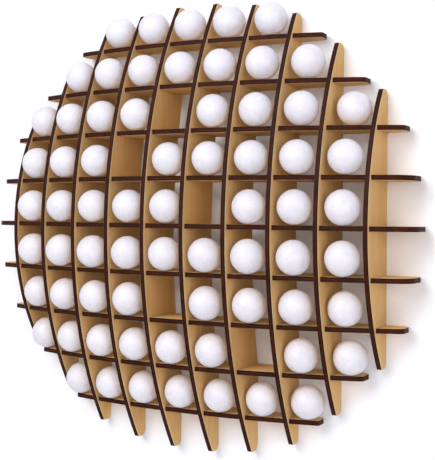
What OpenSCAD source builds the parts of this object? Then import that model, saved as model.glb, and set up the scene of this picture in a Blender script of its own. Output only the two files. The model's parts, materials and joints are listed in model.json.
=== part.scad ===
// Domed wall rack for golf balls: ten upright ribs and nine shelves, halved into one another,
// with the balls that stand in its cells.
// X runs to the right, Z up, and the front faces -Y. The wall is the plane Y = 0, and the origin
// is the middle of the middle shelf's rear edge.

/* [Balls] */
// Diameter of a ball
ball_d = 42.67; // [30:0.01:60]
// Share of the ribs' depth beside it at which a ball's centre stands
ball_share = 0.84; // [0.7:0.01:0.95]
// How much further out than that share it stands
ball_out = 4.5; // [0:0.5:8]
// Least distance of the point that a ball stands on behind the shelf's front edge
ball_land = 3; // [2:1:10]
// Gap under a ball
ball_gap = 0.3; // [0.1:0.1:0.5]
// Gap between the wall and a ball that is pushed right back
wall_gap = 0.5; // [0.3:0.1:3]

/* [Cells] */
// Gap between a ball in the middle of its cell and the ribs on either side of it
side_gap = 4.2; // [1:0.1:12]
// Gap between a ball's shelf and the next shelf up, less the ball
head_gap = 11.3; // [2:0.1:30]

/* [Board] */
// Thickness of the sheet that ribs and shelves are cut from
board_t = 6; // [3:0.5:9]
// Least corner radius at the front of a rib or shelf end
tip_r = 3; // [1:0.5:4]
// Corner radius at the wall side of a rib or shelf end
heel_r = 8; // [2:0.5:11]

/* [Dome] */
// Depth from the wall to the front of the dome
rack_depth = 102; // [90:0.5:180]
// How much less deep the outermost ribs are, at their middle, than the dome
side_drop = 31; // [15:1:45]
// How much less deep a rib's end is than half a ball
tip_inset = 5; // [-3:0.5:6]
// How much deeper than that a shelf's end is, below its rounded front corner
shelf_end_extra = 5; // [2:0.5:8]
// How far the shelf fronts lie behind the rib fronts
shelf_setback = 4; // [1:0.5:6]

/* [Joints] */
// Gap between a board and each side of its slot
slot_gap = 0.1; // [0.05:0.05:0.3]
// Gap where the ends of two halving slots meet
lap_gap = 0.2; // [0.1:0.1:1]
// Share of the shelf's depth that its rear web keeps at a joint
lap_share = 0.5; // [0.35:0.05:0.65]

/* [Hidden] */
rib_count = 10;
shelf_count = 9;
// How many shelves each rib crosses above the middle one, from the outermost rib to the middle
rib_reach = [2, 3, 4, 4, 4];
// How far each rib runs past the last shelf that it crosses, from the outermost to the middle
rib_overhang = [49, 49.5, 32, 48, 54.5];
// How far each shelf runs past the last rib that it crosses, from the top one to the middle
shelf_overhang = [39.5, 40.5, 33, 47, 52.5];
// Number of cells that take a ball on each shelf, from the top
row_cells = [5, 7, 9, 9, 9, 9, 9, 9, 7];
// Cells that stand empty, as [column from the left, shelf from the top]
empty_cells = [[5, 3], [4, 4], [6, 5], [5, 7], [7, 8]];
// A ball that is pushed further back than the rest, as [column, shelf, distance]
pushed_back = [[9, 3, 12]];
// Share of the gap to the left rib by which the balls of each shelf stand off their middle
row_lean = [0, 0, 0, 0, 0, 0.3, 0.9, 0.9, 0.9];

ball_r = ball_d / 2;
tip_depth = ball_r - tip_inset;
rib_pitch = ball_d + 2 * side_gap + board_t;
shelf_pitch = ball_d + head_gap + board_t;
slot_w = board_t + 2 * slot_gap;
// Radius of the arc on which the ribs' middles lie, seen from above
side_r = arc_radius(side_drop, rib_x(rib_count));
// How far a rounded corner's arc bulges past the edges that it joins, so that it crosses them
// cleanly and doesn't only touch them
swell = 0.01;
// How far a cut runs past the face that it opens through
past = 2;

// Radius of an arc that falls by fall at the distance half from its middle, and how far an arc of
// radius r falls at the distance s
function arc_radius(fall, half) = (half * half + fall * fall) / (2 * fall);
function arc_fall(r, s) = r - sqrt(max(0, r * r - s * s));

// Places in the grid. Ribs count from the left, shelves from the top, columns from the left.
function rib_x(i) = (i - (rib_count + 1) / 2) * rib_pitch;
function shelf_z(j) = ((shelf_count + 1) / 2 - j) * shelf_pitch;
function column_x(c) = rib_x(c) + rib_pitch / 2;
function ball_z(j) = shelf_z(j) + board_t / 2 + ball_gap + ball_r;

// The lists above count ribs from the side and shelves from the top, up to the middle
function rib_place(i) = min(i, rib_count + 1 - i) - 1;
function shelf_place(j) = min(j, shelf_count + 1 - j) - 1;
function crosses(i, j) = abs(j - (shelf_count + 1) / 2) <= rib_reach[rib_place(i)];
function first_rib(j) = min([for (i = [1 : rib_count / 2]) if (crosses(i, j)) i]);

// A rib's half length, its depth in the middle and its depth at the height z
function rib_half(i) = rib_reach[rib_place(i)] * shelf_pitch + rib_overhang[rib_place(i)];
function rib_middle(i) = rack_depth - arc_fall(side_r, rib_x(i));
function rib_arc(i) = arc_radius(rib_middle(i) - tip_depth, rib_half(i));
function rib_front(i, z) = rib_middle(i) - arc_fall(rib_arc(i), z);

// The same for a shelf. Its arc keeps shelf_setback to the middle ribs and to its outermost ones.
function shelf_half(j) = abs(rib_x(first_rib(j))) + shelf_overhang[shelf_place(j)];
function shelf_depth(i, j) = rib_front(i, shelf_z(j)) - shelf_setback;
function shelf_middle(j) = shelf_depth(rib_count / 2, j);
function shelf_arc(j) = arc_radius(shelf_middle(j) - shelf_depth(first_rib(j), j), rib_x(first_rib(j)));
function shelf_front(j, x) = shelf_middle(j) - arc_fall(shelf_arc(j), x);

// Depth at which the rear web of a shelf ends and the front web of a rib begins
function lap_depth(i, j) = lap_share * shelf_front(j, rib_x(i));

// The balls stand in the middle cells of a shelf, in step with the ribs' fronts beside them
function is_filled(c, j) = abs(c - rib_count / 2) * 2 < row_cells[j - 1]
    && len([for (e = empty_cells) if (e == [c, j]) 1]) == 0;
function push_of(c, j) = max([0, for (p = pushed_back) if (p[0] == c && p[1] == j) p[2]]);
function rib_depth_beside(c, j) = (rib_front(c, ball_z(j)) + rib_front(c + 1, ball_z(j))) / 2;
function ball_depth(c, j) = max(ball_r + wall_gap,
    min(ball_out + ball_share * rib_depth_beside(c, j), shelf_front(j, column_x(c)) - ball_land)
    - push_of(c, j));

// The corner that is lost when the front of an end at x = half is rounded by the radius r into an
// arc of radius arc_r about (0, centre_y)
module front_corner(half, arc_r, centre_y, r) {
    x = half + swell - r;
    y = centre_y + sqrt(pow(arc_r + swell - r, 2) - x * x);
    arc_point = [0, centre_y] + (arc_r + past) * [x, y - centre_y] / norm([x, y - centre_y]);
    difference() {
        polygon([[x, y], [half + past, y], [half + past, arc_point[1]], arc_point]);
        translate([x, y]) circle(r = r, $fn = 96);
    }
}

// The corner that is lost when the wall side of an end at x = half is rounded. The shallowest end
// limits its radius.
module rear_corner(half) {
    r = min(heel_r, tip_depth - tip_r - 1);
    translate([half + swell - r, r - swell]) difference() {
        translate([0, -r - past]) square([r + past, r + past]);
        circle(r = r, $fn = 64);
    }
}

// Outline of a board, flat along the wall, with an arc in front that is middle deep and rounded
// ends that keep the depth end. Here x runs along the board and y away from the wall.
module board_outline(half, middle, arc_r, end) {
    corner_r = max(tip_r, middle - arc_fall(arc_r, half) - end);
    difference() {
        intersection() {
            translate([0, middle - arc_r]) circle(r = arc_r, $fn = 720);
            translate([-half, 0]) square([2 * half, middle + past]);
        }
        for (side = [0, 1]) mirror([side, 0]) {
            front_corner(half, arc_r, middle - arc_r, corner_r);
            rear_corner(half);
        }
    }
}

// An upright rib, slotted from the wall side for each shelf that it crosses
module rib(i) {
    color("burlywood") translate([rib_x(i), 0, 0]) rotate([90, 0, 90]) rotate(90)
    linear_extrude(height = board_t, center = true) difference() {
        board_outline(rib_half(i), rib_middle(i), rib_arc(i), tip_depth);
        for (j = [1 : shelf_count]) if (crosses(i, j))
            translate([shelf_z(j) - slot_w / 2, -past])
            square([slot_w, past + lap_depth(i, j) + lap_gap / 2]);
    }
}

// A shelf, slotted from the front for each rib that it crosses
module shelf(j) {
    color("tan") translate([0, 0, shelf_z(j)]) rotate([180, 0, 0])
    linear_extrude(height = board_t, center = true) difference() {
        board_outline(shelf_half(j), shelf_middle(j), shelf_arc(j), tip_depth + shelf_end_extra);
        for (i = [1 : rib_count]) if (crosses(i, j))
            translate([rib_x(i) - slot_w / 2, lap_depth(i, j) - lap_gap / 2])
            square([slot_w, rack_depth]);
    }
}

// The balls that stand on one shelf
module balls(j) {
    color("white") for (c = [1 : rib_count - 1]) if (is_filled(c, j))
        translate([column_x(c) - row_lean[j - 1] * side_gap, -ball_depth(c, j), ball_z(j)])
        sphere(d = ball_d, $fn = 48);
}

rib(1);  // rib_1
rib(2);  // rib_2
rib(3);  // rib_3
rib(4);  // rib_4
rib(5);  // rib_5
rib(6);  // rib_6
rib(7);  // rib_7
rib(8);  // rib_8
rib(9);  // rib_9
rib(10);  // rib_10
shelf(1);  // shelf_1
shelf(2);  // shelf_2
shelf(3);  // shelf_3
shelf(4);  // shelf_4
shelf(5);  // shelf_5
shelf(6);  // shelf_6
shelf(7);  // shelf_7
shelf(8);  // shelf_8
shelf(9);  // shelf_9
balls(1);  // balls_shelf_1
balls(2);  // balls_shelf_2
balls(3);  // balls_shelf_3
balls(4);  // balls_shelf_4
balls(5);  // balls_shelf_5
balls(6);  // balls_shelf_6
balls(7);  // balls_shelf_7
balls(8);  // balls_shelf_8
balls(9);  // balls_shelf_9
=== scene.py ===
"""Looks of a domed wall rack for golf balls: slotted boards, dimpled balls, a white wall and soft light."""

import json
import logging
import math
import random
from dataclasses import dataclass, field
from enum import Enum

import bpy
import numpy as np
from mathutils import Matrix, Vector, kdtree

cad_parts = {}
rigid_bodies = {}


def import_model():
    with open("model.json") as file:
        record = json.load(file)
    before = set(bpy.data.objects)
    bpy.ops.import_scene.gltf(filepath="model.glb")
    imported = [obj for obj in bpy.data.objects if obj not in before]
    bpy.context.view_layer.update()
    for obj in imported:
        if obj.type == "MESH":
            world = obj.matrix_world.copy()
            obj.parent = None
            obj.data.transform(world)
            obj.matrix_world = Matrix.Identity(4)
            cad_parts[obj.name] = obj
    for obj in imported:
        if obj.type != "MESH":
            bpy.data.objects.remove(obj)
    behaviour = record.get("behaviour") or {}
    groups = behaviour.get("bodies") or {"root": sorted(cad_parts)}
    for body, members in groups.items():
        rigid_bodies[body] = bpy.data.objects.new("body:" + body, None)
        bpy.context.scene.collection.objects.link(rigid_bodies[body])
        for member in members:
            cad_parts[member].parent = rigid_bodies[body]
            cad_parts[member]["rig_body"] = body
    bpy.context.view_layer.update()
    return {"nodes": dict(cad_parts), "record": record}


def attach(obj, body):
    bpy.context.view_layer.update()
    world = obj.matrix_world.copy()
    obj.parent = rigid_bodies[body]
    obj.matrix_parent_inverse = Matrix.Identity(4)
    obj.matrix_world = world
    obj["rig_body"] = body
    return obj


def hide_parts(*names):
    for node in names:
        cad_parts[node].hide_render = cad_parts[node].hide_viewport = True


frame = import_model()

logging.basicConfig(level=logging.INFO, format="%(message)s")
log = logging.getLogger("rack")

MM = 0.001
Colour = tuple[float, float, float]


def linear(red: float, green: float, blue: float) -> Colour:
    """Turn a colour of 0 to 255 as a screen shows it into the linear values of a shader.

    Args:
        red: Red, from 0 to 255.
        green: Green, from 0 to 255.
        blue: Blue, from 0 to 255.

    Returns:
        The three linear values, from 0 to 1.
    """

    def channel(shown: float) -> float:
        """Undo the screen's curve on one channel."""
        share = shown / 255
        return share / 12.92 if share <= 0.04045 else ((share + 0.055) / 1.055) ** 2.4

    return channel(red), channel(green), channel(blue)


@dataclass(frozen=True)
class Grain:
    """One layer of unevenness in a finish.

    Attributes:
        scale: Its cycles per metre.
        detail: Its number of finer octaves.
        rough: The strength of each octave against the last.
        weight: How much it counts beside the other layers.
    """

    scale: float
    detail: float = 2.0
    rough: float = 0.5
    weight: float = 1.0


class Value:
    """A number socket, on which Python's operators add Math nodes."""

    def __init__(self, graph: "Graph", socket: bpy.types.NodeSocket) -> None:
        """Wrap an output socket of a graph."""
        self.graph = graph
        self.socket = socket

    def math(self, operation: str, *others: "Value | float") -> "Value":
        """Add a Math node whose first value is this one.

        Args:
            operation: The Math node's operation.
            others: Its second and third values.

        Returns:
            The node's result.
        """
        return self.graph.math(operation, self, *others)

    def __add__(self, other: "Value | float") -> "Value":
        """Add."""
        return self.math("ADD", other)

    __radd__ = __add__

    def __sub__(self, other: "Value | float") -> "Value":
        """Subtract."""
        return self.math("SUBTRACT", other)

    def __rsub__(self, other: float) -> "Value":
        """Subtract this value from a number."""
        return self.graph.math("SUBTRACT", other, self)

    def __mul__(self, other: "Value | float") -> "Value":
        """Multiply."""
        return self.math("MULTIPLY", other)

    __rmul__ = __mul__

    def __truediv__(self, other: "Value | float") -> "Value":
        """Divide."""
        return self.math("DIVIDE", other)

    def __abs__(self) -> "Value":
        """Take the size without its sign."""
        return self.math("ABSOLUTE")

    def rise(self, low: float, high: float) -> "Value":
        """Rise smoothly from 0 to 1 as this value goes from low to high.

        Args:
            low: The value at which the result leaves 0.
            high: The value at which it reaches 1.

        Returns:
            The smooth step.
        """
        node = self.graph.add(
            "ShaderNodeMapRange",
            {"interpolation_type": "SMOOTHSTEP"},
            {"Value": self, "From Min": low, "From Max": high},
        )
        return Value(self.graph, node.outputs["Result"])


class Graph:
    """The node graph of one material or world, emptied first."""

    def __init__(self, owner: bpy.types.Material | bpy.types.World) -> None:
        """Take over the node tree of a material or world."""
        owner.use_nodes = True
        self.tree = owner.node_tree
        self.tree.nodes.clear()

    def add(self, kind: str, settings: dict | None = None, sockets: dict | None = None) -> bpy.types.Node:
        """Add a node.

        Args:
            kind: The node's type.
            settings: Its settings, set first.
            sockets: Values or links of its inputs, by name or number.

        Returns:
            The node.
        """
        node = self.tree.nodes.new(kind)
        for name, setting in (settings or {}).items():
            setattr(node, name, setting)
        for name, given in (sockets or {}).items():
            socket = node.inputs[name]
            if isinstance(given, Value):
                self.tree.links.new(given.socket, socket)
            elif isinstance(given, bpy.types.NodeSocket):
                self.tree.links.new(given, socket)
            elif isinstance(given, tuple) and socket.type == "RGBA":
                socket.default_value = (*given, 1.0)
            else:
                socket.default_value = given
        return node

    def math(self, operation: str, *values: Value | float) -> Value:
        """Add a Math node.

        Args:
            operation: The node's operation.
            values: Its values, in order.

        Returns:
            The node's result.
        """
        node = self.add("ShaderNodeMath", {"operation": operation}, dict(enumerate(values)))
        return Value(self, node.outputs[0])

    def point(self) -> bpy.types.NodeSocket:
        """Return the socket of the place on the object."""
        return self.add("ShaderNodeTexCoord").outputs["Object"]

    def parts(self, vector: bpy.types.NodeSocket) -> tuple[Value, Value, Value]:
        """Split a vector into its three numbers."""
        node = self.add("ShaderNodeSeparateXYZ", {}, {0: vector})
        return tuple(Value(self, socket) for socket in node.outputs)

    def scaled(self, vector: bpy.types.NodeSocket, scale: tuple[float, float, float]) -> bpy.types.NodeSocket:
        """Stretch a vector by a factor along each axis."""
        return self.add("ShaderNodeMapping", {}, {"Vector": vector, "Scale": scale}).outputs[0]

    def noise(self, vector: bpy.types.NodeSocket, grain: Grain) -> Value:
        """Add fractal noise of about 0 to 1.

        Args:
            vector: Where the noise is read.
            grain: Its scale and detail.

        Returns:
            The noise, without its weight.
        """
        sockets = {"Vector": vector, "Scale": grain.scale, "Detail": grain.detail, "Roughness": grain.rough}
        return Value(self, self.add("ShaderNodeTexNoise", {}, sockets).outputs[0])

    def principled(self, sockets: dict) -> bpy.types.Node:
        """Add the general shader with the values or links of its inputs."""
        return self.add("ShaderNodeBsdfPrincipled", {}, sockets)

    def mix(
        self, share: Value, first: Colour | bpy.types.NodeSocket, second: Colour | bpy.types.NodeSocket
    ) -> bpy.types.NodeSocket:
        """Mix two colours.

        Args:
            share: How much of the second colour shows, from 0 to 1.
            first: The first colour, or its socket.
            second: The second colour, or its socket.

        Returns:
            The mixed colour's socket.
        """
        node = self.add("ShaderNodeMix", {"data_type": "RGBA"}, {0: share, 6: first, 7: second})
        return node.outputs[2]

    def bump(self, height: Value, depth: float, strength: float) -> bpy.types.NodeSocket:
        """Turn a height of 0 to 1 into a normal.

        Args:
            height: The height.
            depth: The height of 1 in metres.
            strength: The strength of the effect.

        Returns:
            The normal's socket.
        """
        sockets = {"Height": height, "Distance": depth, "Strength": strength}
        return self.add("ShaderNodeBump", {}, sockets).outputs[0]

    def surface(self, shader: bpy.types.Node) -> None:
        """Make a shader node the material's surface."""
        self.add("ShaderNodeOutputMaterial", {}, {"Surface": shader.outputs[0]})


class Board(Enum):
    """The two kinds of board, by the axis that their faces look along."""

    RIB = 0
    SHELF = 2

    @property
    def along(self) -> int:
        """Return the axis that the board runs along."""
        return 2 - self.value


@dataclass(frozen=True)
class BoardFinish:
    """Raw fibreboard and its laser-cut edge.

    Places across a board go from 0 in its middle to 1 at its faces.

    Attributes:
        face: The faces' colour.
        fibre: The colour of the faces' fibres.
        painted_highlight: A pale colour painted as a highlight along the line where a face meets the front
            edge.
        char: The colour of the blackest parts of an edge.
        core: The colour of its palest parts.
        painted_highlight_width: The width over which the painted highlight fades away.
        painted_highlight_share: How much of the painted highlight's colour shows at the edge.
        face_from: The place across the board at which the edge's look begins to give way.
        face_full: The place across it at which the face's look is full.
        face_roughness: The faces' roughness.
        edge_roughness: The edges' roughness.
        fibre_roughness: How much rougher the strongest fibres are than the weakest.
        relief: The height of fibres and scorch marks.
        relief_strength: How strongly that height shows.
        shine: The strength of the board's reflection.
        fibre_width: A fibre's width as a share of its length.
        bands: The soft bands on the faces.
        fine: The fine fibres.
        cloud: The broad light and dark patches.
        fibres_from: The strength of the three layers together at which fibres begin to show.
        fibres_full: The strength at which they show fully.
        strokes: The short strokes on an edge.
        patches: The patches on an edge.
        border_weight: How much the dark lines along both faces count beside strokes and patches.
        border_from: The place across the board at which these lines begin.
        border_full: The place at which they are full.
        scorch_from: The strength of the edge's layers together at which char begins to show.
        scorch_full: The strength at which it shows fully.
    """

    face: Colour = linear(223, 185, 130)
    fibre: Colour = linear(210, 169, 110)
    # Painted highlight: this pale colour stands for light caught along the line where a face meets the front
    # edge.
    painted_highlight: Colour = linear(240, 216, 178)
    char: Colour = linear(20, 9, 6)
    core: Colour = linear(64, 28, 15)
    painted_highlight_width: float = 2.8 * MM
    painted_highlight_share: float = 0.8
    face_from: float = 0.98
    face_full: float = 0.995
    face_roughness: float = 0.72
    edge_roughness: float = 0.5
    fibre_roughness: float = 0.12
    relief: float = 0.08 * MM
    relief_strength: float = 0.6
    shine: float = 0.06
    fibre_width: float = 0.08
    bands: Grain = Grain(scale=130.0, detail=3.0, rough=0.6, weight=0.45)
    fine: Grain = Grain(scale=900.0, detail=3.0, rough=0.6, weight=0.3)
    cloud: Grain = Grain(scale=14.0, weight=0.25)
    fibres_from: float = 0.3
    fibres_full: float = 0.72
    strokes: Grain = Grain(scale=1500.0, weight=0.2)
    patches: Grain = Grain(scale=45.0, detail=3.0, rough=0.6, weight=0.75)
    border_weight: float = 0.45
    border_from: float = 0.25
    border_full: float = 0.95
    scorch_from: float = 0.35
    scorch_full: float = 0.95


@dataclass(frozen=True)
class BoardShape:
    """Where one board stands and how its front is rounded, read from the frame, in metres.

    Attributes:
        kind: Rib or shelf.
        middle: The place of the board's middle plane along the kind's axis.
        thickness: The board's thickness.
        arc_centre: The centre along Y of the arc that its front lies on.
        arc_radius: That arc's radius.
    """

    kind: Board
    middle: float
    thickness: float
    arc_centre: float
    arc_radius: float

    @classmethod
    def read(cls, kind: Board, board: bpy.types.Object) -> "BoardShape":
        """Measure a board. Its front is the flattest arc that no point of the board lies outside of.

        Args:
            kind: Rib or shelf.
            board: The board's object.

        Returns:
            Its shape.
        """
        least_share = 0.1
        tiny = 1e-9
        points = np.array([vertex.co for vertex in board.data.vertices])
        across = points[:, kind.value]
        squares = points[:, kind.along] ** 2
        depths = points[:, 1]
        front = depths.argmin()
        # Points close to the board's middle say little about the arc
        apart = squares > least_share * squares.max()
        rises = squares + depths**2 - squares[front] - depths[front] ** 2
        centre = (rises[apart] / (2 * (depths[apart] - depths[front] + tiny))).max()
        return cls(
            kind=kind,
            middle=float(across.min() + across.max()) / 2,
            thickness=float(across.max() - across.min()),
            arc_centre=float(centre),
            arc_radius=math.hypot(math.sqrt(squares[front]), depths[front] - centre),
        )


@dataclass(frozen=True)
class Hollow:
    """The shallow round hollow behind the rack, over which the boards stand off the wall.

    Attributes:
        depth: Its depth in the middle.
        reach: How far it reaches from the middle.
        behind: How far behind the wall's plane the shape that cuts it ends.
        merge: The distance within which the corners of a board's triangles are joined before the cut.
        segments: The number of the sphere's faces round its axis.
        rings: Their number from pole to pole.
    """

    depth: float = 27.0 * MM
    reach: float = 204.0 * MM
    behind: float = 5.0 * MM
    merge: float = 0.001 * MM
    segments: int = 96
    rings: int = 240

    def cutter(self) -> bpy.types.Object:
        """Make the cap of a large sphere that fills the hollow, to cut boards with.

        Returns:
            The cap, closed behind the wall's plane.
        """
        radius = (self.reach**2 + self.depth**2) / (2 * self.depth)
        bpy.ops.object.select_all(action="DESELECT")
        bpy.ops.mesh.primitive_uv_sphere_add(
            segments=self.segments,
            ring_count=self.rings,
            radius=radius,
            location=(0.0, radius - self.depth, 0.0),
            rotation=(math.pi / 2, 0.0, 0.0),
        )
        bpy.ops.object.transform_apply(location=True, rotation=True, scale=True)
        bpy.ops.object.mode_set(mode="EDIT")
        bpy.ops.mesh.select_all(action="SELECT")
        bpy.ops.mesh.bisect(
            plane_co=(0.0, self.behind, 0.0), plane_no=(0.0, 1.0, 0.0), use_fill=True, clear_outer=True
        )
        bpy.ops.object.mode_set(mode="OBJECT")
        return bpy.context.object

    def cut(self, board: bpy.types.Object, cutter: bpy.types.Object) -> bpy.types.Object:
        """Copy a board and cut the hollow out of the copy's rear edge.

        Args:
            board: The board to copy.
            cutter: The shape of the hollow.

        Returns:
            The copy.
        """
        piece = bpy.data.objects.new(f"hollowed_{board.name}", board.data.copy())
        bpy.context.scene.collection.objects.link(piece)
        bpy.ops.object.select_all(action="DESELECT")
        piece.select_set(True)
        bpy.context.view_layer.objects.active = piece
        bpy.ops.object.mode_set(mode="EDIT")
        bpy.ops.mesh.select_all(action="SELECT")
        bpy.ops.mesh.remove_doubles(threshold=self.merge)
        bpy.ops.object.mode_set(mode="OBJECT")
        hollow = piece.modifiers.new("hollow", "BOOLEAN")
        hollow.operation = "DIFFERENCE"
        hollow.solver = "EXACT"
        hollow.object = cutter
        bpy.ops.object.modifier_apply(modifier=hollow.name)
        bpy.ops.object.shade_flat()
        return piece


@dataclass
class Rack:
    """The slotted boards: ribs and shelves, in the places that the frame gives them."""

    finish: BoardFinish = field(default_factory=BoardFinish)
    hollow: Hollow = field(default_factory=Hollow)
    body: str = "rack"

    def build(self) -> None:
        """Give every board its material, and cut the hollow out of a copy of each board that it reaches."""
        cutter = self.hollow.cutter()
        for name in frame["record"]["behaviour"]["bodies"][self.body]:
            board = frame["nodes"][name]
            kind = Board.RIB if name.startswith("rib_") else Board.SHELF
            shape = BoardShape.read(kind, board)
            self.dress(board, self.material(f"board_{name}", shape))
            if abs(shape.middle) < self.hollow.reach:
                piece = self.hollow.cut(board, cutter)
                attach(piece, self.body)
                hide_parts(name)
            log.info("dressed %s, whose front has a radius of %.0f mm", name, shape.arc_radius / MM)
        bpy.data.objects.remove(cutter)

    @staticmethod
    def dress(board: bpy.types.Object, material: bpy.types.Material) -> None:
        """Put a material into every slot of a board's object."""
        if not board.material_slots:
            board.data.materials.append(None)
        for slot in board.material_slots:
            slot.material = material

    def material(self, name: str, shape: BoardShape) -> bpy.types.Material:
        """Make the material of one board.

        Args:
            name: The material's name.
            shape: Where the board stands and how its front is rounded.

        Returns:
            The material, with pale faces, dark cut edges, fibres along the board and a painted highlight
            where the faces meet the front edge.
        """
        finish = self.finish
        material = bpy.data.materials.new(name)
        graph = Graph(material)
        place = graph.point()
        across = graph.parts(place)[shape.kind.value]
        offset = abs(across - shape.middle) / (shape.thickness / 2)
        is_face = offset.rise(finish.face_from, finish.face_full)
        fibres = self._fibres(graph, shape, place)
        depth = self._depth_behind_front(graph, shape, place)
        # Painted highlight: a pale line is painted on each face just behind the front edge and fades away
        # over its width.
        painted_highlight = (1 - depth.rise(0.0, finish.painted_highlight_width)) * finish.painted_highlight_share
        face = graph.mix(fibres, finish.face, finish.fibre)
        face = graph.mix(painted_highlight, face, finish.painted_highlight)
        scorch = self._scorch(graph, place, offset)
        edge = graph.mix(scorch, finish.core, finish.char)
        colour = graph.mix(is_face, edge, face)
        rough = is_face * (finish.face_roughness - finish.edge_roughness) + finish.edge_roughness
        rough = rough + (fibres - 0.5) * finish.fibre_roughness
        height = is_face * fibres + (1 - is_face) * scorch
        sockets = {
            "Base Color": colour,
            "Roughness": rough,
            "Normal": graph.bump(height, finish.relief, finish.relief_strength),
            "Specular IOR Level": finish.shine,
        }
        graph.surface(graph.principled(sockets))
        return material

    def _fibres(self, graph: Graph, shape: BoardShape, place: bpy.types.NodeSocket) -> Value:
        """Make the faces' pattern: soft bands and fine fibres that run along the board.

        Args:
            graph: The material's nodes.
            shape: Which way the board runs.
            place: The place on the board.

        Returns:
            The pattern, from 0 to 1.
        """
        finish = self.finish
        run = [1.0, 1.0, 1.0]
        run[shape.kind.along] = finish.fibre_width
        stretched = graph.scaled(place, tuple(run))
        mixed = self._layer(graph, stretched, finish.bands) + self._layer(graph, stretched, finish.fine)
        mixed = mixed + self._layer(graph, place, finish.cloud)
        return mixed.rise(finish.fibres_from, finish.fibres_full)

    @staticmethod
    def _layer(graph: Graph, place: bpy.types.NodeSocket, grain: Grain) -> Value:
        """Add one layer of noise, as strong as it counts."""
        return graph.noise(place, grain) * grain.weight

    @staticmethod
    def _depth_behind_front(graph: Graph, shape: BoardShape, place: bpy.types.NodeSocket) -> Value:
        """Measure how far a point of the board lies behind the arc of its front.

        Args:
            graph: The material's nodes.
            shape: The board's arc.
            place: The place on the board.

        Returns:
            The distance in metres.
        """
        centre = [0.0, shape.arc_centre, 0.0]
        centre[shape.kind.value] = shape.middle
        node = graph.add("ShaderNodeVectorMath", {"operation": "DISTANCE"}, {0: place, 1: tuple(centre)})
        return shape.arc_radius - Value(graph, node.outputs["Value"])

    def _scorch(self, graph: Graph, place: bpy.types.NodeSocket, offset: Value) -> Value:
        """Make the edges' pattern: blackest at both faces, with uneven strokes and patches.

        Args:
            graph: The material's nodes.
            place: The place on the board.
            offset: The place across it, from 0 in its middle to 1 at its faces.

        Returns:
            The pattern, from 0 to 1.
        """
        finish = self.finish
        mixed = offset.rise(finish.border_from, finish.border_full) * finish.border_weight
        mixed = mixed + self._layer(graph, place, finish.patches) + self._layer(graph, place, finish.strokes)
        return mixed.rise(finish.scorch_from, finish.scorch_full)


@dataclass(frozen=True)
class BallFinish:
    """The glossy white cover of a golf ball.

    Attributes:
        cover: The cover's white.
        shade: Its slightly darker white in patches.
        shade_from: The strength of the patches at which the darker white begins to show.
        shade_full: The strength at which it shows fully.
        roughness: The cover's roughness.
        coat: The weight of its clear coat.
        coat_roughness: The coat's roughness.
        cloud: The patches.
        cloud_roughness: How much the patches change the roughness.
        scuffs: The fine scuffs.
        scuff_roughness: How much the scuffs change the roughness.
        scuff_depth: The scuffs' depth.
        scuff_strength: How strongly that depth shows.
    """

    cover: Colour = linear(234, 231, 241)
    shade: Colour = linear(227, 224, 236)
    shade_from: float = 0.35
    shade_full: float = 0.75
    roughness: float = 0.38
    coat: float = 0.1
    coat_roughness: float = 0.25
    cloud: Grain = Grain(scale=60.0, detail=3.0)
    cloud_roughness: float = 0.1
    scuffs: Grain = Grain(scale=700.0)
    scuff_roughness: float = 0.08
    scuff_depth: float = 0.01 * MM
    scuff_strength: float = 0.3

    def material(self) -> bpy.types.Material:
        """Make the cover's material, with a faint unevenness in its white and its gloss."""
        material = bpy.data.materials.new("ball_cover")
        graph = Graph(material)
        place = graph.point()
        cloud = graph.noise(place, self.cloud)
        scuffs = graph.noise(place, self.scuffs)
        rough = self.roughness + (cloud - 0.5) * self.cloud_roughness + (scuffs - 0.5) * self.scuff_roughness
        sockets = {
            "Base Color": graph.mix(cloud.rise(self.shade_from, self.shade_full), self.cover, self.shade),
            "Roughness": rough,
            "Normal": graph.bump(scuffs, self.scuff_depth, self.scuff_strength),
            "Coat Weight": self.coat,
            "Coat Roughness": self.coat_roughness,
        }
        graph.surface(graph.principled(sockets))
        return material


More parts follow.
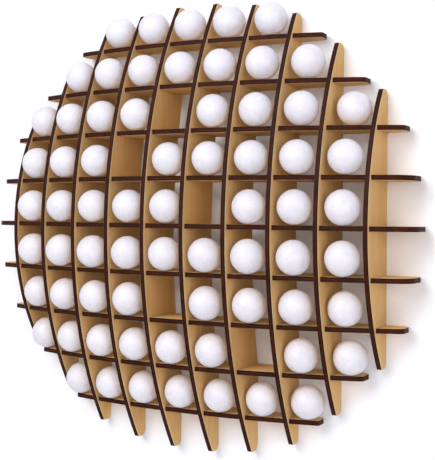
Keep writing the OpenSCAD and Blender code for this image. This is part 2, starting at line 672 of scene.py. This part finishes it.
@dataclass
class GolfBall:
    """One dimpled ball, modelled about the origin and then copied.

    Attributes:
        radius: The ball's radius in metres.
        cuts: How often each edge of the first 20 faces is cut, which sets the number of dimples.
        reach: How far a dimple's outline reaches towards its neighbour, in percent of their distance.
        wall: The width of a dimple's sloping rim.
        wall_depth: The depth of that rim.
        bowl_depth: How much deeper its middle is.
    """

    radius: float
    cuts: int = 5
    reach: float = 49.0
    wall: float = 0.5 * MM
    wall_depth: float = 0.11 * MM
    bowl_depth: float = 0.04 * MM
    finish: BallFinish = field(default_factory=BallFinish)

    def build(self) -> bpy.types.Object:
        """Model the ball.

        Returns:
            The ball's object, which is only a pattern for copies.
        """
        bpy.ops.object.select_all(action="DESELECT")
        bpy.ops.mesh.primitive_ico_sphere_add(subdivisions=1, radius=self.radius)
        ball = bpy.context.object
        self._spread_points()
        dimples = [vertex.co.normalized() for vertex in ball.data.vertices]
        self._cut_outlines(ball)
        self._join_fans(ball, dimples)
        self._sink_dimples()
        bpy.ops.object.shade_smooth()
        ball.data.materials.append(self.finish.material())
        return ball

    def _spread_points(self) -> None:
        """Subdivide the first faces evenly and round them, which puts a point at each dimple."""
        bpy.ops.object.mode_set(mode="EDIT")
        bpy.ops.mesh.select_all(action="SELECT")
        bpy.ops.mesh.subdivide(number_cuts=self.cuts)
        bpy.ops.transform.tosphere(value=1.0)
        bpy.ops.object.mode_set(mode="OBJECT")

    def _cut_outlines(self, ball: bpy.types.Object) -> None:
        """Turn each point into a face, round the faces' outlines and fit the ball to its radius.

        Args:
            ball: The ball.
        """
        bpy.ops.object.mode_set(mode="EDIT")
        bpy.ops.mesh.bevel(offset_type="PERCENT", offset_pct=self.reach, affect="VERTICES", segments=1)
        bpy.ops.object.mode_set(mode="OBJECT")
        smooth = ball.modifiers.new("round_outlines", "SUBSURF")
        smooth.levels = smooth.render_levels = 1
        bpy.ops.object.modifier_apply(modifier=smooth.name)
        bpy.ops.object.mode_set(mode="EDIT")
        bpy.ops.mesh.select_all(action="SELECT")
        bpy.ops.transform.tosphere(value=1.0)
        bpy.ops.object.mode_set(mode="OBJECT")
        growth = self.radius / max(vertex.co.length for vertex in ball.data.vertices)
        bpy.ops.object.mode_set(mode="EDIT")
        bpy.ops.transform.resize(value=(growth,) * 3, center_override=(0.0, 0.0, 0.0))
        bpy.ops.object.mode_set(mode="OBJECT")

    @staticmethod
    def _join_fans(ball: bpy.types.Object, dimples: list[Vector]) -> None:
        """Select the faces round each dimple's middle and join them into one face.

        Args:
            ball: The ball.
            dimples: The direction of each dimple from the ball's centre.
        """
        mesh = ball.data
        tree = kdtree.KDTree(len(mesh.vertices))
        for vertex in mesh.vertices:
            tree.insert(vertex.co.normalized(), vertex.index)
        tree.balance()
        for element in (*mesh.polygons, *mesh.edges, *mesh.vertices):
            element.select = False
        for dimple in dimples:
            mesh.vertices[tree.find(dimple)[1]].select = True
        bpy.ops.object.mode_set(mode="EDIT")
        bpy.ops.mesh.select_mode(type="VERT")
        bpy.ops.mesh.select_more()
        bpy.ops.mesh.select_mode(type="FACE")
        bpy.ops.mesh.dissolve_faces()

    def _sink_dimples(self) -> None:
        """Give each joined face a sloping rim and a shallow bowl."""
        bpy.ops.mesh.inset(thickness=self.wall, depth=-self.wall_depth, use_individual=True)
        bpy.ops.mesh.poke(offset=-self.bowl_depth)
        bpy.ops.mesh.select_mode(type="VERT")
        bpy.ops.object.mode_set(mode="OBJECT")


@dataclass
class BallRows:
    """The balls on all the shelves, each in the place that the frame gives it.

    Attributes:
        node_prefix: How the name of a node of balls begins.
        least_gap: The width of a gap along X that parts two balls of a node.
        seed: The start of the random turns.
    """

    node_prefix: str = "balls_shelf_"
    least_gap: float = 5.0 * MM
    seed: int = 7

    def build(self) -> None:
        """Copy the dimpled ball to every ball's place and let it move with its row."""
        places = {name: self.centres(name) for name in frame["nodes"] if name.startswith(self.node_prefix)}
        radius = max(radius for row in places.values() for _, radius in row)
        pattern = GolfBall(radius).build()
        turns = random.Random(self.seed)
        for name in sorted(places):
            body = frame["nodes"][name]["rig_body"]
            row = name.removeprefix(self.node_prefix)
            for number, (centre, _) in enumerate(places[name], start=1):
                ball = self.copy(pattern, f"golf_ball_{row}_{number}", centre, turns)
                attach(ball, body)
                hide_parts(name)
            log.info("placed %d balls of %s on %s", len(places[name]), name, body)
        bpy.data.objects.remove(pattern)

    def centres(self, name: str) -> list[tuple[Vector, float]]:
        """Find the balls of one node.

        Args:
            name: The node, whose balls stand clear of each other along X.

        Returns:
            Each ball's centre and radius, from left to right.
        """
        points = np.array([vertex.co for vertex in frame["nodes"][name].data.vertices])
        points = points[np.argsort(points[:, 0])]
        gaps = np.flatnonzero(np.diff(points[:, 0]) > self.least_gap) + 1
        found = []
        for group in np.split(points, gaps):
            low, high = group.min(axis=0), group.max(axis=0)
            found.append((Vector((low + high) / 2), float((high - low).max() / 2)))
        return found

    @staticmethod
    def copy(pattern: bpy.types.Object, name: str, centre: Vector, turns: random.Random) -> bpy.types.Object:
        """Copy the ball, turned at random, with its place in its own mesh.

        Args:
            pattern: The ball to copy.
            name: The copy's name.
            centre: The copy's centre.
            turns: The source of the random turns.

        Returns:
            The copy.
        """
        mesh = pattern.data.copy()
        turn = Matrix.Identity(3)
        for axis in "XYZ":
            turn = Matrix.Rotation(turns.uniform(0, math.tau), 3, axis) @ turn
        mesh.transform(Matrix.Translation(centre) @ turn.to_4x4())
        mesh.name = name
        ball = bpy.data.objects.new(name, mesh)
        bpy.context.scene.collection.objects.link(ball)
        return ball


@dataclass(frozen=True)
class Viewpoint:
    """Where the photograph was taken from.

    Attributes:
        azimuth: The camera's angle to the right of the wall's normal, in degrees.
        elevation: Its angle above the target, in degrees.
        roll: How far it is rolled, in degrees.
        distance: Its distance from the target, in metres.
        target: The point that its axis meets the wall at.
        focal_px: The focal length in the photograph's pixels.
        frame_height: The photograph's height in pixels.
        raised_px: How far the axis runs above the photograph's middle, in pixels.
    """

    azimuth: float = 28.04
    elevation: float = -1.66
    roll: float = 0.66
    distance: float = 1.2643
    target: tuple[float, float, float] = (0.0258, 0.0, 0.0479)
    focal_px: float = 948.0
    frame_height: int = 460
    raised_px: float = 40.0

    def build(self) -> bpy.types.Object:
        """Make the scene's camera.

        Returns:
            The camera's object.
        """
        side, rise = math.radians(self.azimuth), math.radians(self.elevation)
        back = Vector((math.sin(side) * math.cos(rise), -math.cos(side) * math.cos(rise), math.sin(rise)))
        data = bpy.data.cameras.new("camera")
        data.lens = self.focal_px * data.sensor_width / self.frame_height
        data.shift_y = -self.raised_px / self.frame_height
        camera = bpy.data.objects.new("camera", data)
        roll = Matrix.Rotation(math.radians(self.roll), 4, "Z")
        camera.matrix_world = (
            Matrix.Translation(Vector(self.target) + back * self.distance)
            @ back.to_track_quat("Z", "Y").to_matrix().to_4x4()
            @ roll
        )
        bpy.context.scene.collection.objects.link(camera)
        bpy.context.scene.camera = camera
        return camera


@dataclass(frozen=True)
class Lamp:
    """One soft square lamp with white light that looks at the rack.

    Attributes:
        name: The lamp's name.
        place: Where it stands, in metres.
        size: Its side.
        power: Its power in watts.
    """

    name: str
    place: tuple[float, float, float]
    size: float
    power: float

    def build(self) -> bpy.types.Object:
        """Make the lamp.

        Returns:
            The lamp's object.
        """
        data = bpy.data.lights.new(self.name, "AREA")
        data.shape = "SQUARE"
        data.size = self.size
        data.energy = self.power
        lamp = bpy.data.objects.new(self.name, data)
        place = Vector(self.place)
        lamp.matrix_world = Matrix.Translation(place) @ place.to_track_quat("Z", "Y").to_matrix().to_4x4()
        bpy.context.scene.collection.objects.link(lamp)
        return lamp


@dataclass(frozen=True)
class RearLight:
    """A weak light from behind, so that the rack's rear can be seen from there.

    Attributes:
        strength: Its strength.
        spread: How wide its source looks from the rack, in degrees.
        source: The direction that it comes from.
    """

    strength: float = 1.0
    spread: float = 25.0
    source: tuple[float, float, float] = (0.0, 1.0, 0.12)

    def build(self, wall: bpy.types.Object) -> bpy.types.Object:
        """Make the light, which passes the wall and leaves no highlight in front.

        Args:
            wall: The wall that it passes.

        Returns:
            The light's object.
        """
        data = bpy.data.lights.new("rear_lamp", "SUN")
        data.energy = self.strength
        data.angle = math.radians(self.spread)
        lamp = bpy.data.objects.new("rear_lamp", data)
        lamp.visible_glossy = False
        lamp.matrix_world = Vector(self.source).to_track_quat("Z", "Y").to_matrix().to_4x4()
        bpy.context.scene.collection.objects.link(lamp)
        passed = bpy.data.collections.new("passed_by_rear_lamp")
        passed.objects.link(wall)
        lamp.light_linking.blocker_collection = passed
        passed.collection_objects[0].light_linking.link_state = "EXCLUDE"
        return lamp


@dataclass(frozen=True)
class WallFinish:
    """The wall's matt white paint.

    Attributes:
        white: Its colour.
        glow: What it adds for the camera.
        roughness: Its roughness.
        shine: The strength of its reflection.
        paint: The unevenness of the paint.
        paint_depth: The depth of that unevenness.
        paint_strength: How strongly the depth shows.
    """

    white: Colour = linear(246, 247, 255)
    glow: float = 0.05
    roughness: float = 0.9
    shine: float = 0.1
    paint: Grain = Grain(scale=90.0, detail=3.0)
    paint_depth: float = 0.05 * MM
    paint_strength: float = 0.3

    def material(self) -> bpy.types.Material:
        """Make the paint, which can be seen through from behind."""
        material = bpy.data.materials.new("wall_white")
        graph = Graph(material)
        paint = graph.noise(graph.point(), self.paint)
        sockets = {
            "Base Color": self.white,
            "Roughness": self.roughness,
            "Specular IOR Level": self.shine,
            "Normal": graph.bump(paint, self.paint_depth, self.paint_strength),
        }
        wall = graph.principled(sockets)
        to_camera = Value(graph, graph.add("ShaderNodeLightPath").outputs["Is Camera Ray"])
        glow = graph.add("ShaderNodeEmission", {}, {"Strength": to_camera * self.glow})
        lit = graph.add("ShaderNodeAddShader", {}, {0: wall.outputs[0], 1: glow.outputs[0]})
        clear = graph.add("ShaderNodeBsdfTransparent")
        behind = graph.add("ShaderNodeNewGeometry").outputs["Backfacing"]
        sides = {0: behind, 1: lit.outputs[0], 2: clear.outputs[0]}
        graph.surface(graph.add("ShaderNodeMixShader", {}, sides))
        return material


@dataclass(frozen=True)
class FloorFinish:
    """The floor's pale, matt finish."""

    white: Colour = linear(238, 236, 233)
    roughness: float = 0.8
    shine: float = 0.2

    def material(self) -> bpy.types.Material:
        """Make the floor's material."""
        material = bpy.data.materials.new("floor_pale")
        graph = Graph(material)
        sockets = {"Base Color": self.white, "Roughness": self.roughness, "Specular IOR Level": self.shine}
        graph.surface(graph.principled(sockets))
        return material


@dataclass
class Studio:
    """The white wall, the pale floor, the lamps and the camera.

    Attributes:
        viewpoint: The camera.
        lamps: The lamps in front of the rack.
        rear_light: The light behind it.
        wall_finish: The wall's paint.
        floor_finish: The floor's finish.
        wall_gap: The distance from the boards' rear edges to the wall.
        plane_size: The side of the wall and of the floor.
        floor_height: The floor's height.
        sky: The strength of the light from all round.
    """

    viewpoint: Viewpoint = field(default_factory=Viewpoint)
    lamps: tuple[Lamp, ...] = (
        Lamp("key_lamp", (-0.7, -2.4, 1.3), 1.7, 52.0),
        Lamp("top_lamp", (0.0, -1.7, 2.3), 1.6, 13.0),
        Lamp("front_lamp", (1.3, -2.6, 0.2), 1.6, 15.0),
        Lamp("side_lamp", (2.5, -1.5, 0.3), 1.6, 17.0),
    )
    rear_light: RearLight = field(default_factory=RearLight)
    wall_finish: WallFinish = field(default_factory=WallFinish)
    floor_finish: FloorFinish = field(default_factory=FloorFinish)
    wall_gap: float = 0.5 * MM
    plane_size: float = 6.0
    floor_height: float = -1.2
    sky: float = 0.1

    def build(self) -> None:
        """Make everything around the rack."""
        scene = bpy.context.scene
        scene.view_settings.view_transform = "Standard"
        self.viewpoint.build()
        wall = self._plane("wall", (0.0, self.wall_gap, 0.0), math.pi / 2)
        wall.data.materials.append(self.wall_finish.material())
        floor = self._plane("floor", (0.0, 0.0, self.floor_height), 0.0)
        floor.data.materials.append(self.floor_finish.material())
        for lamp in self.lamps:
            lamp.build()
        self.rear_light.build(wall)
        self._world(scene)
        log.info("set the stage with %d lamps", len(self.lamps) + 1)

    def _plane(self, name: str, place: tuple[float, float, float], tilt: float) -> bpy.types.Object:
        """Add a large plane.

        Args:
            name: Its name.
            place: Its middle.
            tilt: How far it is turned about X from level, in radians.

        Returns:
            The plane's object.
        """
        bpy.ops.object.select_all(action="DESELECT")
        bpy.ops.mesh.primitive_plane_add(size=self.plane_size, location=place, rotation=(tilt, 0.0, 0.0))
        plane = bpy.context.object
        plane.name = name
        return plane

    def _world(self, scene: bpy.types.Scene) -> None:
        """Make the soft light from all round, which the camera sees as plain white.

        Args:
            scene: The scene that it lights.
        """
        world = bpy.data.worlds.new("soft_white")
        scene.world = world
        graph = Graph(world)
        path = graph.add("ShaderNodeLightPath")
        seen = Value(graph, path.outputs["Is Camera Ray"])
        for name in ("Is Glossy Ray", "Is Transmission Ray"):
            seen = seen.math("MAXIMUM", Value(graph, path.outputs[name]))
        strength = seen * (1.0 - self.sky) + self.sky
        sky = graph.add("ShaderNodeBackground", {}, {"Color": (1.0, 1.0, 1.0), "Strength": strength})
        graph.add("ShaderNodeOutputWorld", {}, {"Surface": sky.outputs[0]})


def main() -> None:
    """Build the studio, the rack and its balls."""
    Studio().build()
    Rack().build()
    BallRows().build()


if __name__ == "__main__":
    main()
